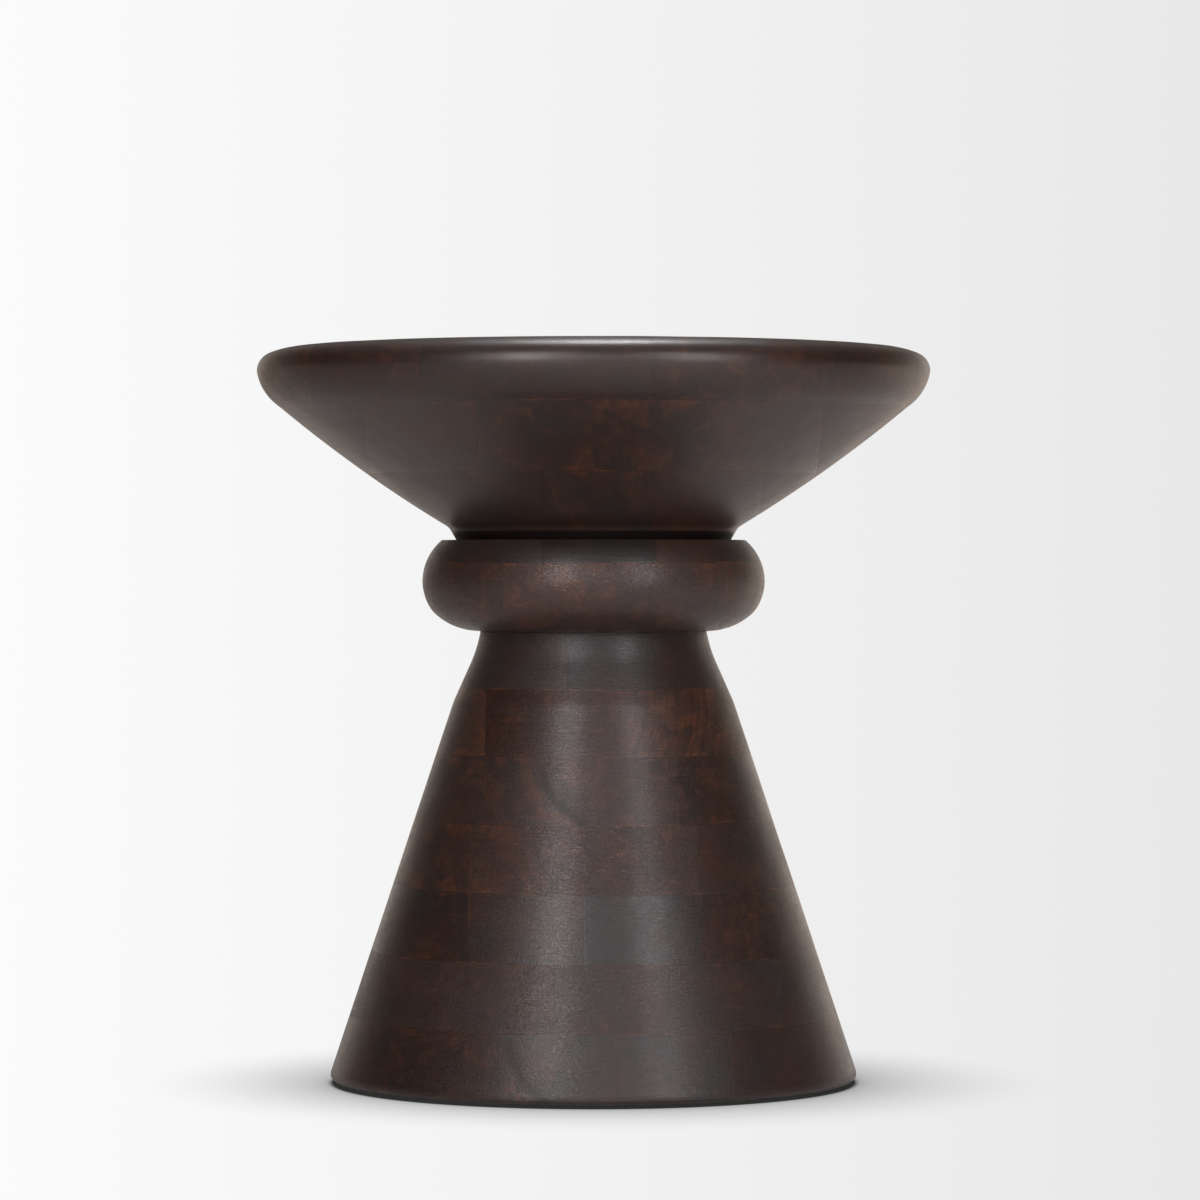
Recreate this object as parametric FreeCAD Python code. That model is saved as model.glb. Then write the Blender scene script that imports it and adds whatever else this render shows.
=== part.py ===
import FreeCAD, Part
import math
import os

# Pedestal accent table of laminated hardwood, in millimetres, with +Z up.
# The origin is on the floor, on the axis of the table.
# The table is three separately turned sections: a conical base, a beaded collar and a wide round top.
# Each section is laid up from courses of boards, glued face to face, before it is turned.
# All boards run front to back, along Y, so the upright glue lines of a course are planes of one X each.

# Thickness of the felt pads, and planed thickness of the boards in each course
pad_thickness = 2.0
course_thickness = 44.6
neck_course_thickness = 38.0
collar_lower_thickness = 46.7
collar_upper_thickness = 15.4
tabletop_thickness = 41.1

# Outline of the base: flares are counted out from the neck, drops are counted down from its upper end
foot_radius = 179.5
foot_edge_round = 4.0
neck_radius = 77.2
shoulder_flare = 18.4
shoulder_drop = 48.1
cove_flare = 7.3
cove_drop = 23.2
cove_hollow = 0.8

# Outline of the collar: insets are counted in from its widest radius, heights up from its underside
collar_radius = 116.9
collar_widest_height = 34.0
collar_ledge = 1.8
collar_quirk_inset = 7.0
collar_quirk_height = 13.4
collar_quirk_swell = 3.3
collar_lower_swell = 1.7
collar_upper_swell = 3.4
collar_shoulder_inset = 13.4

# Outline of the top: insets are counted in from the rim, drops are counted down from the tabletop
rim_radius = 229.5
stem_setback = 9.7
throat_flare = 4.8
throat_height = 8.4
dish_inset = 15.6
dish_drop = 39.9
dish_swell = 2.7
rim_widest_drop = 15.3
rim_lower_swell = 3.1
rim_shoulder_inset = 7.5
rim_shoulder_drop = 4.0
rim_upper_swell = 1.9
flat_top_inset = 24.5
flat_top_swell = 0.7

# Dowels that join the sections, glued in blind bores
centre_dowel_radius = 20.0
centre_dowel_depth = 34.0
locating_dowel_radius = 5.0
locating_dowel_depth = 25.0
locating_dowel_circle = 50.0
locating_dowel_count = 3
bore_clearance = 0.15
bore_end_room = 1.5

# Felt pads stuck under the base
pad_radius = 14.0
pad_inset = 29.5
pad_count = 4

# Upright glue lines of each course, as shares of the widest radius of that course
base_joint_shares = (
    (-0.75, -0.333, 0.083, 0.5),
    (-0.606, -0.152, 0.303, 0.758),
    (-0.543, -0.04, 0.467),
    (-0.607, -0.052, 0.504),
    (-0.59, 0.457),
    (-0.673, 0.209),
    (-0.205, 0.453),
)
collar_joint_shares = (
    (-0.513, 0.128, 0.769),
    (-0.298, 0.364),
)
top_joint_shares = (
    (-0.696, -0.222, 0.253, 0.728),
    (-0.708, -0.354, 0.0, 0.354, 0.708),
    (-0.813, -0.487, -0.161, 0.165, 0.491, 0.817),
)

# Names of the courses, from the floor up
base_course_names = (
    "foot_course",
    "base_course_2",
    "base_course_3",
    "base_course_4",
    "base_course_5",
    "base_course_6",
    "neck_course",
)
collar_course_names = ("collar_lower", "collar_upper")
top_course_names = ("top_lower", "top_middle", "tabletop")

# The sections stand on each other, and the base on its pads
base_height = course_thickness * (len(base_course_names) - 1) + neck_course_thickness
collar_height = collar_lower_thickness + collar_upper_thickness
top_height = course_thickness * (len(top_course_names) - 1) + tabletop_thickness
base_floor = pad_thickness
collar_floor = base_floor + base_height
top_floor = collar_floor + collar_height

# Directions
up = FreeCAD.Vector(0, 0, 1)
axis_foot = FreeCAD.Vector(0, 0, 0)
full_turn = 360.0


def point(radius, height):
    """A point of an outline, which lies in the plane of X and Z."""
    return FreeCAD.Vector(radius, 0, height)


def line(start, end):
    """A straight stretch of an outline."""
    return Part.LineSegment(start, end).toShape()


def swell(start, end, rise):
    """A round stretch of an outline. Its middle stands off the chord by the rise, to the right of the way."""
    chord = end.sub(start)
    side = FreeCAD.Vector(chord.z, 0, -chord.x)
    side.normalize()
    middle = start.add(end).multiply(0.5).add(side.multiply(rise))
    return Part.Arc(start, middle, end).toShape()


def turned(edges, floor):
    """The solid that an outline sweeps about the axis. The outline goes from the axis out and back to it."""
    face = Part.Face(Part.Wire(edges))
    solid = face.revolve(axis_foot, up, full_turn)
    solid.translate(FreeCAD.Vector(0, 0, floor))
    return solid


def base_outline():
    """A straight cone with an eased foot, which draws in to an upright neck through a shallow cove."""
    shoulder = point(neck_radius + shoulder_flare, base_height - shoulder_drop)
    cove = point(neck_radius + cove_flare, base_height - cove_drop)
    neck = point(neck_radius, base_height)
    centre = point(foot_radius - foot_edge_round, foot_edge_round)
    lean = math.atan2(foot_radius - shoulder.x, shoulder.z - centre.z)
    half_way = (lean - math.pi / 2) / 2
    low = point(centre.x, 0)
    middle = centre.add(point(math.cos(half_way), math.sin(half_way)).multiply(foot_edge_round))
    high = centre.add(point(math.cos(lean), math.sin(lean)).multiply(foot_edge_round))
    top_centre = point(0, base_height)
    return [
        line(axis_foot, low),
        Part.Arc(low, middle, high).toShape(),
        line(high, shoulder),
        line(shoulder, cove),
        swell(cove, neck, -cove_hollow),
        line(neck, top_centre),
        line(top_centre, axis_foot),
    ]


def collar_outline():
    """A bead that starts a ledge outside the neck, with a tight quirk, a full side and a flat top."""
    foot = point(neck_radius + collar_ledge, 0)
    quirk = point(collar_radius - collar_quirk_inset, collar_quirk_height)
    widest = point(collar_radius, collar_widest_height)
    shoulder = point(collar_radius - collar_shoulder_inset, collar_height)
    top_centre = point(0, collar_height)
    return [
        line(axis_foot, foot),
        swell(foot, quirk, collar_quirk_swell),
        swell(quirk, widest, collar_lower_swell),
        swell(widest, shoulder, collar_upper_swell),
        line(shoulder, top_centre),
        line(top_centre, axis_foot),
    ]


def top_outline():
    """A dished underside over an undercut throat, a round rim and a flat top. Its stem is set back on the collar."""
    stem = point(collar_radius - collar_shoulder_inset - stem_setback, 0)
    throat = point(stem.x + throat_flare, throat_height)
    dish = point(rim_radius - dish_inset, top_height - dish_drop)
    widest = point(rim_radius, top_height - rim_widest_drop)
    shoulder = point(rim_radius - rim_shoulder_inset, top_height - rim_shoulder_drop)
    flat = point(rim_radius - flat_top_inset, top_height)
    top_centre = point(0, top_height)
    return [
        line(axis_foot, stem),
        line(stem, throat),
        swell(throat, dish, dish_swell),
        swell(dish, widest, rim_lower_swell),
        swell(widest, shoulder, rim_upper_swell),
        swell(shoulder, flat, flat_top_swell),
        line(flat, top_centre),
        line(top_centre, axis_foot),
    ]


def upright_cylinder(radius, x, y, low, high):
    """A round bar from one height to another."""
    return Part.makeCylinder(radius, high - low, FreeCAD.Vector(x, y, low), up)


def around(circle, count, first=math.pi):
    """Places evenly spaced on a circle about the axis. The first is on the left, or at another angle."""
    places = []
    for index in range(count):
        angle = first + 2 * math.pi * index / count
        places.append((circle * math.cos(angle), circle * math.sin(angle)))
    return places


def centre_dowel():
    """The thick dowel on the axis, which runs through the collar into the neck and the top."""
    low = collar_floor - centre_dowel_depth
    high = top_floor + centre_dowel_depth
    return upright_cylinder(centre_dowel_radius, 0, 0, low, high)


def locating_dowels(seam):
    """The thin dowels across one seam, which keep its two sections from turning on each other."""
    low = seam - locating_dowel_depth
    high = seam + locating_dowel_depth
    dowels = []
    for x, y in around(locating_dowel_circle, locating_dowel_count):
        dowels.append(upright_cylinder(locating_dowel_radius, x, y, low, high))
    return dowels


def dowel_bores():
    """The bores of all dowels, each a clearance wider and longer at both ends than its dowel."""
    radius = centre_dowel_radius + bore_clearance
    depth = centre_dowel_depth + bore_end_room
    bores = [upright_cylinder(radius, 0, 0, collar_floor - depth, top_floor + depth)]
    radius = locating_dowel_radius + bore_clearance
    depth = locating_dowel_depth + bore_end_room
    for seam in (collar_floor, top_floor):
        for x, y in around(locating_dowel_circle, locating_dowel_count):
            bores.append(upright_cylinder(radius, x, y, seam - depth, seam + depth))
    return bores


def felt_pads():
    """The felt discs under the base, set between the front, the sides and the back."""
    pads = []
    for x, y in around(foot_radius - pad_inset, pad_count, math.pi + math.pi / pad_count):
        pads.append(upright_cylinder(pad_radius, x, y, 0, pad_thickness))
    return pads


def slab(left, right, low, high):
    """The block of wood that one board comes from, deep enough for the whole table."""
    reach = max(foot_radius, collar_radius, rim_radius)
    corner = FreeCAD.Vector(left, -reach, low)
    return Part.makeBox(right - left, 2 * reach, high - low, corner)


def radius_of(shape):
    """The widest radius of a turned shape."""
    return shape.optimalBoundingBox(False, False).XMax


def boards(section, levels, names, joint_shares):
    """The boards of one turned section, by name. Levels are the heights of its level glue lines and ends."""
    made = {}
    reach = radius_of(section)
    for low, high, name, shares in zip(levels[:-1], levels[1:], names, joint_shares):
        course = section.common(slab(-reach, reach, low, high))
        widest = radius_of(course)
        edges = [-widest] + [share * widest for share in shares] + [widest]
        for number, (left, right) in enumerate(zip(edges[:-1], edges[1:]), start=1):
            board = course.common(slab(left, right, low, high))
            made[f"{name}_board_{number}"] = board
    return made


def levels_of(floor, thicknesses):
    """Heights of the level glue lines and ends of a section, from its floor and the thickness of its courses."""
    levels = [floor]
    for thickness in thicknesses:
        levels.append(levels[-1] + thickness)
    return levels


def base_boards(bores):
    """The boards of the conical base, whose neck course is thinner than the others."""
    section = turned(base_outline(), base_floor).cut(bores)
    thicknesses = [course_thickness] * (len(base_course_names) - 1) + [neck_course_thickness]
    return boards(section, levels_of(base_floor, thicknesses), base_course_names, base_joint_shares)


def collar_boards(bores):
    """The boards of the beaded collar, a thick course under a thin one."""
    section = turned(collar_outline(), collar_floor).cut(bores)
    thicknesses = [collar_lower_thickness, collar_upper_thickness]
    return boards(section, levels_of(collar_floor, thicknesses), collar_course_names, collar_joint_shares)


def top_boards(bores):
    """The boards of the round top, whose uppermost course is thinner than the others."""
    section = turned(top_outline(), top_floor).cut(bores)
    thicknesses = [course_thickness] * (len(top_course_names) - 1) + [tabletop_thickness]
    return boards(section, levels_of(top_floor, thicknesses), top_course_names, top_joint_shares)


def table():
    """All pieces of the table, by the name of their node."""
    bores = dowel_bores()
    pieces = {}
    pieces["felt_pads"] = Part.makeCompound(felt_pads())
    pieces.update(base_boards(bores))
    pieces["neck_locating_dowels"] = Part.makeCompound(locating_dowels(collar_floor))
    pieces.update(collar_boards(bores))
    pieces["centre_dowel"] = centre_dowel()
    pieces["throat_locating_dowels"] = Part.makeCompound(locating_dowels(top_floor))
    pieces.update(top_boards(bores))
    return pieces


os.makedirs("parts", exist_ok=True)
for name, shape in table().items():
    shape.exportStep(os.path.join("parts", name + ".step"))
    volume = sum(solid.Volume for solid in shape.Solids)
    print(name, len(shape.Solids), "solid", round(volume), "mm3", "valid" if shape.isValid() else "not valid")
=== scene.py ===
import functools
import math

import bmesh
import bpy
import numpy as np
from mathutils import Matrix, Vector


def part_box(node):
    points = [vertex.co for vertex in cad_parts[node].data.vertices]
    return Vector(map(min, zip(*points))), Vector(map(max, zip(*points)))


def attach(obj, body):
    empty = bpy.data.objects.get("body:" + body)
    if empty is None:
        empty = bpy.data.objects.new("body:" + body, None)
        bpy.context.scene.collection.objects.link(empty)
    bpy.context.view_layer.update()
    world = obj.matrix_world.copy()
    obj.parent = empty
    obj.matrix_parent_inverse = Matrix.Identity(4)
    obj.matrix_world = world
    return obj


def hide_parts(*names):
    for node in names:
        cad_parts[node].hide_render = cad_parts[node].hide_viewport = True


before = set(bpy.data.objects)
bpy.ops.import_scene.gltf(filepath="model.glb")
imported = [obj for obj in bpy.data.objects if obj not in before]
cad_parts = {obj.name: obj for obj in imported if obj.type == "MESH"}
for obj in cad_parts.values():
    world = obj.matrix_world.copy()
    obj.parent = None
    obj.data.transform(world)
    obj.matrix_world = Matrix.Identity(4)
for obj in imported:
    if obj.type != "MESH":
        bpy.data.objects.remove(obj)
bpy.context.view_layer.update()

bl_info = {
    "name": "Pedestal accent table",
    "version": (1, 0, 0),
    "blender": (4, 5, 0),
    "location": "3D View > Sidebar > Accent table",
    "description": "Boards, dowels and pads of a turned accent table, with its finish and a studio stage",
    "category": "Object",
}

# Everything is in metres. The table stands on the floor, its axis is Z, and the photograph looks along +Y.
MM = 0.001
BODY = "root"
# Farther from a board than any glue line or outline
FAR = 1.0

# Courses of boards in each turned section, from the floor up
BASE_COURSES = (
    "foot_course", "base_course_2", "base_course_3", "base_course_4", "base_course_5", "base_course_6",
    "neck_course",
)
COLLAR_COURSES = ("collar_lower", "collar_upper")
TOP_COURSES = ("top_lower", "top_middle", "tabletop")
LOCATING_DOWELS = ("neck_locating_dowels", "throat_locating_dowels")

# Look of each board, from left to right: warmth, lightness, flame, rings and pores, in percent
BOARD_LOOKS = {
    "foot_course": (
        (55, 39, 25, 30, 40), (60, 22, 45, 50, 50), (25, 90, 10, 30, 65), (35, 44, 20, 20, 50),
        (45, 45, 30, 20, 40),
    ),
    "base_course_2": (
        (55, 38, 20, 20, 70), (60, 55, 30, 30, 80), (40, 67, 20, 20, 70), (42, 44, 20, 30, 60),
        (50, 50, 15, 20, 40),
    ),
    "base_course_3": (
        (35, 45, 30, 20, 40), (50, 43, 10, 20, 55), (15, 45, 0, 20, 50), (45, 36, 45, 50, 40),
    ),
    "base_course_4": (
        (58, 52, 45, 20, 40), (80, 42, 60, 20, 80), (58, 51, 40, 20, 80), (55, 40, 30, 20, 40),
    ),
    "base_course_5": (
        (40, 54, 35, 20, 40), (50, 29, 55, 30, 55), (45, 33, 50, 40, 40),
    ),
    "base_course_6": (
        (60, 75, 40, 20, 40), (90, 19, 50, 30, 55), (70, 32, 85, 90, 40),
    ),
    "neck_course": (
        (20, 72, 0, 20, 50), (25, 32, 0, 30, 50), (55, 26, 20, 20, 50),
    ),
    "collar_lower": (
        (50, 56, 50, 40, 60), (60, 82, 55, 30, 80), (50, 76, 45, 30, 80), (75, 40, 60, 20, 60),
    ),
    "collar_upper": (
        (25, 45, 10, 20, 50), (25, 0, 20, 20, 50), (50, 47, 20, 20, 50),
    ),
    "top_lower": (
        (55, 45, 20, 20, 15), (50, 40, 25, 20, 15), (42, 38, 40, 30, 15), (60, 45, 30, 30, 15),
        (55, 45, 20, 20, 15),
    ),
    "top_middle": (
        (50, 40, 20, 20, 10), (60, 40, 25, 20, 10), (42, 45, 40, 40, 10), (43, 36, 55, 50, 15),
        (60, 45, 30, 20, 10), (55, 45, 20, 20, 10),
    ),
    "tabletop": (
        (75, 25, 60, 50, 40), (55, 30, 40, 30, 20), (40, 30, 25, 20, 20), (50, 40, 20, 30, 30),
        (45, 26, 40, 30, 20), (60, 23, 50, 30, 20), (65, 0, 70, 50, 30),
    ),
}

# Boards whose rings show where the heart of the log was: its X and height
BOARD_HEARTS = {
    "base_course_5_board_2": (12.5 * MM, 226.0 * MM),
    "base_course_6_board_3": (-12.0 * MM, 262.0 * MM),
    "foot_course_board_3": (-2.0 * MM, 52.0 * MM),
    "top_middle_board_4": (-40.0 * MM, 452.0 * MM),
}

# Boards with a dark ring that shows as a crescent: its radius, and the way to its middle in X and Z, which is
# shorter where the ring is faint
BOARD_CRESCENTS = {
    "base_course_5_board_2": (47.0 * MM, -0.77, -0.64),
    "foot_course_board_3": (55.0 * MM, -0.8, -0.55),
}


def length(description, value):
    """A size that a user may change, with its value here in millimetres."""
    return bpy.props.FloatProperty(
        description=description, default=value * MM, min=0.0, precision=5, unit="LENGTH", subtype="DISTANCE"
    )


def share(description, value):
    """A share from nothing to all."""
    return bpy.props.FloatProperty(description=description, default=value, min=0.0, max=1.0, subtype="FACTOR")


def number(description, value, least):
    """A number of pieces, with the least that it may be."""
    return bpy.props.IntProperty(description=description, default=value, min=least)


def to_linear(code):
    """The linear colour, with full alpha, of an sRGB hex value such as #2e2420."""
    parts = np.array([int(code[i:i + 2], 16) for i in (1, 3, 5)]) / 255
    linear = np.where(parts <= 0.04045, parts / 12.92, ((parts + 0.055) / 1.055) ** 2.4)
    return (*linear.tolist(), 1.0)


def colour(description, code):
    """A colour that a user may change, from an sRGB hex value."""
    return bpy.props.FloatVectorProperty(
        description=description, default=to_linear(code), min=0.0, max=1.0, size=4, subtype="COLOR"
    )


class BaseSizes(bpy.types.PropertyGroup):
    """Outline of the conical base: flares count out from the neck, drops count down from its upper end."""
    foot_radius: length("Radius of the base just above its eased lower edge", 179.5)
    foot_round: length("Radius of the eased lower edge", 4.0)
    neck_radius: length("Radius of the neck under the collar", 77.2)
    shoulder_flare: length("How far the cone's top stands outside the neck", 18.4)
    shoulder_drop: length("How far the cone's top lies below the collar", 48.1)
    cove_flare: length("How far the cove's lower end stands outside the neck", 7.3)
    cove_drop: length("How far the cove's lower end lies below the collar", 23.2)
    cove_hollow: length("Depth of the cove below the neck", 0.8)


class CollarSizes(bpy.types.PropertyGroup):
    """Outline of the collar: insets count in from its widest radius, heights up from its underside."""
    radius: length("Radius of the bead at its widest", 116.9)
    widest_height: length("Height of the widest place above the underside", 34.0)
    ledge: length("How far the underside starts outside the neck", 1.8)
    quirk_inset: length("Inset of the bend under the bead", 7.0)
    quirk_height: length("Height of the bend under the bead", 13.4)
    quirk_swell: length("Roundness of the underside", 3.3)
    lower_swell: length("Roundness between the bend and the widest place", 1.7)
    upper_swell: length("Roundness above the widest place", 3.4)
    shoulder_inset: length("Inset of the collar's upper edge", 13.4)


class TopSizes(bpy.types.PropertyGroup):
    """Outline of the top: insets count in from the rim, drops count down from the tabletop."""
    rim_radius: length("Radius of the tabletop's rim", 229.5)
    stem_setback: length("How far the stem stands inside the collar's upper edge", 9.7)
    throat_flare: length("How far the throat widens over the stem", 4.8)
    throat_height: length("Height of the undercut throat", 8.4)
    dish_inset: length("Inset of the dish's upper end", 15.6)
    dish_drop: length("Drop of the dish's upper end", 39.9)
    dish_swell: length("Roundness of the dished underside", 2.7)
    widest_drop: length("Drop of the rim's widest place", 15.3)
    lower_swell: length("Roundness under the rim's widest place", 3.1)
    shoulder_inset: length("Inset of the rim's shoulder", 7.5)
    shoulder_drop: length("Drop of the rim's shoulder", 4.0)
    upper_swell: length("Roundness over the rim's widest place", 1.9)
    flat_inset: length("Inset of the flat face from the rim", 24.5)
    flat_swell: length("Roundness from the rim's shoulder to the flat face", 0.7)


class BoardSizes(bpy.types.PropertyGroup):
    """How the boards are cut, glued and turned."""
    groove_depth: length("Depth of the hairline left on a glue line", 0.03)
    groove_width: length("Width of one side of that hairline", 0.5)
    wander: length("How far the hand-turned surface strays inside the true outline", 0.22)
    ease: length("How softly the turned outline runs through its corners", 1.2)
    spacing: length("Distance between the rows and columns of the mesh", 2.4)


class DowelSizes(bpy.types.PropertyGroup):
    """Bores for the dowels that join the sections."""
    clearance: length("How much wider a bore is than its dowel, on the radius", 0.15)
    end_room: length("How much deeper a bore is than its dowel", 1.5)
    locating_circle: length("Radius of the circle of thin dowels", 50.0)
    locating_radius: length("Radius of the thin dowels", 5.0)
    locating_count: number("Thin dowels across each seam", 3, least=1)


class FeltSizes(bpy.types.PropertyGroup):
    """Pads under the base."""
    radius: length("Radius of a felt pad", 14.0)
    circle: length("Radius of the circle on which the pads lie", 150.0)
    edge_round: length("Softness of a pad's edge", 0.6)
    count: number("Number of felt pads", 4, least=3)


class WoodFinish(bpy.types.PropertyGroup):
    """Colours and scale of the stained wood."""
    dark: colour("Stain on plain wood", "#2a1f1b")
    red: colour("Stain on warm wood", "#39231a")
    deep: colour("Dark bands of the rings and pores", "#171110")
    flame: colour("Light streaks that took less stain", "#744122")
    # This dark colour also paints the shade in the throat's undercut
    glue: colour("Dark hairline between boards", "#120d0c")
    grey: colour("Stain on dense wood", "#262120")
    dowel: colour("Unfinished dowels", "#c39a6b")
    dowel_dark: colour("Late wood of the dowels", "#9a6f44")
    roughness: share("Roughness of the satin lacquer", 0.34)
    ring_width: length("Distance between growth rings", 3.4)
    pore_spacing: length("Distance between the pores' dark squiggles", 1.3)


class StageSettings(bpy.types.PropertyGroup):
    """Camera, floor and lamps."""
    camera_distance: length("From the axis of the table to the camera", 3515.0)
    camera_height: length("Height of the camera above the floor", 356.3)
    camera_aside: length("How far the camera stands to the right of the axis", 4.4)
    camera_dip: bpy.props.FloatProperty(
        description="How far the camera looks down", default=math.radians(0.45), subtype="ANGLE"
    )
    focal_length: bpy.props.FloatProperty(
        description="Lens, on a sensor 36 mm wide", default=154.56, min=1.0, subtype="DISTANCE_CAMERA"
    )
    left_tone: colour("Background at the left edge of the view", "#fbfbfb")
    right_tone: colour("Background at the right edge of the view", "#e8e8e8")
    floor_radius: length("Radius of the floor", 14000.0)
    key_strength: bpy.props.FloatProperty(description="Radiance of the left strip lamp", default=6.3, min=0.0)


def settings(name):
    """One group of this add-on's settings, as it stands in the scene."""
    return getattr(bpy.context.scene.accent_table, name)


# The groups of settings, by their names in the scene
GROUPS = {
    "base": BaseSizes,
    "collar": CollarSizes,
    "top": TopSizes,
    "boards": BoardSizes,
    "dowels": DowelSizes,
    "felt": FeltSizes,
    "wood": WoodFinish,
    "stage": StageSettings,
}


class TableSettings(bpy.types.PropertyGroup):
    """All settings of the table and its stage."""
    __annotations__ = {name: bpy.props.PointerProperty(type=kind) for name, kind in GROUPS.items()}


# Outlines: a row of points, each a radius and a height over the section's underside


def straight(start, end):
    """The straight stretch from one point to another, as its two ends."""
    return np.array([start, end])


def swell(start, end, rise, steps=60):
    """The round stretch between two points whose middle stands off the chord by the rise, to the way's right.

    With half chord h and rise e the circle's radius is (h squared + e squared) / 2e. A point at angle t is
    the centre plus the radius times (side cos t + way sin t), and t runs both ways to the angle whose sine
    is h / radius.
    """
    start, end = np.array(start), np.array(end)
    chord = end - start
    half = np.linalg.norm(chord) / 2
    way = chord / (2 * half)
    side = np.array([way[1], -way[0]])
    radius = (half ** 2 + rise ** 2) / (2 * rise)
    centre = (start + end) / 2 + side * (rise - radius)
    turn = np.linspace(-1, 1, steps) * math.asin(half / radius)
    return centre + radius * (np.outer(np.cos(turn), side) + np.outer(np.sin(turn), way))


def base_outline(height):
    """The base from its underside to the neck: eased foot, cone, shoulder, cove, neck."""
    size = settings("base")
    shoulder = (size.neck_radius + size.shoulder_flare, height - size.shoulder_drop)
    cove = (size.neck_radius + size.cove_flare, height - size.cove_drop)
    centre = np.array([size.foot_radius - size.foot_round, size.foot_round])
    lean = math.atan2(size.foot_radius - shoulder[0], shoulder[1] - centre[1])
    turn = np.linspace(-math.pi / 2, lean, 30)
    foot = centre + size.foot_round * np.stack([np.cos(turn), np.sin(turn)], axis=1)
    neck = swell(cove, (size.neck_radius, height), -size.cove_hollow)
    return np.concatenate([foot, straight(shoulder, cove), neck])


def collar_outline(height):
    """The collar from its underside to its upper edge: quirk, bead, shoulder."""
    size = settings("collar")
    foot = (settings("base").neck_radius + size.ledge, 0.0)
    quirk = (size.radius - size.quirk_inset, size.quirk_height)
    widest = (size.radius, size.widest_height)
    shoulder = (size.radius - size.shoulder_inset, height)
    return np.concatenate([
        swell(foot, quirk, size.quirk_swell),
        swell(quirk, widest, size.lower_swell),
        swell(widest, shoulder, size.upper_swell),
    ])


def top_outline(height):
    """The top from its stem to the edge of its flat face: throat, dish, rim, shoulder."""
    size, collar = settings("top"), settings("collar")
    stem = (collar.radius - collar.shoulder_inset - size.stem_setback, 0.0)
    throat = (stem[0] + size.throat_flare, size.throat_height)
    dish = (size.rim_radius - size.dish_inset, height - size.dish_drop)
    widest = (size.rim_radius, height - size.widest_drop)
    shoulder = (size.rim_radius - size.shoulder_inset, height - size.shoulder_drop)
    flat = (size.rim_radius - size.flat_inset, height)
    return np.concatenate([
        straight(stem, throat),
        swell(throat, dish, size.dish_swell),
        swell(dish, widest, size.lower_swell),
        swell(widest, shoulder, size.upper_swell),
        swell(shoulder, flat, size.flat_swell),
    ])


class Outline:
    """A section's outline by its own length: radius, height and outward normal at any way along it."""

    def __init__(self, points, floor, ease):
        """Spaces the points evenly, ten to an ease, and averages each with its neighbours by a bell curve."""
        to_ease = 10
        reach = 3 * to_ease
        points = points[np.r_[True, np.linalg.norm(np.diff(points, axis=0), axis=1) > 1e-7]]
        way = np.r_[0, np.cumsum(np.linalg.norm(np.diff(points, axis=0), axis=1))]
        count = int(way[-1] / (ease / to_ease))
        even = np.linspace(0, way[-1], count)
        lines = [np.interp(even, way, points[:, k]) for k in (0, 1)]
        bell = np.exp(-0.5 * (np.arange(-reach, reach + 1) / to_ease) ** 2)
        bell /= bell.sum()
        soft = []
        for line in lines:
            before = 2 * line[0] - line[reach:0:-1]
            after = 2 * line[-1] - line[-2:-reach - 2:-1]
            soft.append(np.convolve(np.r_[before, line, after], bell, mode="valid"))
        self.way = even
        self.radius = soft[0]
        self.height = np.maximum.accumulate(soft[1]) + floor
        slope = np.gradient(np.stack([self.radius, self.height], axis=1), even, axis=0)
        slope /= np.linalg.norm(slope, axis=1, keepdims=True)
        self.out = slope[:, 1]
        self.up = -slope[:, 0]

    def at(self, way):
        """Radius, height and the two parts of the outward normal at the given ways."""
        return [np.interp(way, self.way, line) for line in (self.radius, self.height, self.out, self.up)]

    def way_at(self, height):
        """How far along the outline a height is reached."""
        return float(np.interp(height, self.height, self.way))


# Boards


def course_nodes(course):
    """The nodes of one course's boards, from left to right."""
    names = [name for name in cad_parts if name.startswith(course + "_board_")]
    return sorted(names, key=lambda name: int(name.rsplit("_", 1)[1]))


def span(courses):
    """The lowest and highest level of some courses."""
    boxes = [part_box(node) for course in courses for node in course_nodes(course)]
    return min(low.z for low, high in boxes), max(high.z for low, high in boxes)


def stray(angle, height, depth):
    """How far the hand-turned surface lies inside its outline, from 0 to depth, in six slow waves."""
    waves = np.zeros(np.broadcast(angle, height).shape)
    for turns, climb, phase in (
        (2, 9, 0.4), (3, -21, 1.9), (7, 34, 3.1), (11, -57, 0.8), (17, 83, 5.0), (23, -140, 2.2),
    ):
        waves = waves + np.sin(turns * angle + climb * height + phase)
    return depth * (0.5 + waves / 12)


def edge_steps(glued, size):
    """Distances of the mesh's first lines from a board's edge, which are closer beside a glue line."""
    return np.array([0.0, 0.5, 1.0, 2.0]) * size.groove_width if glued else np.array([0.0])


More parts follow.
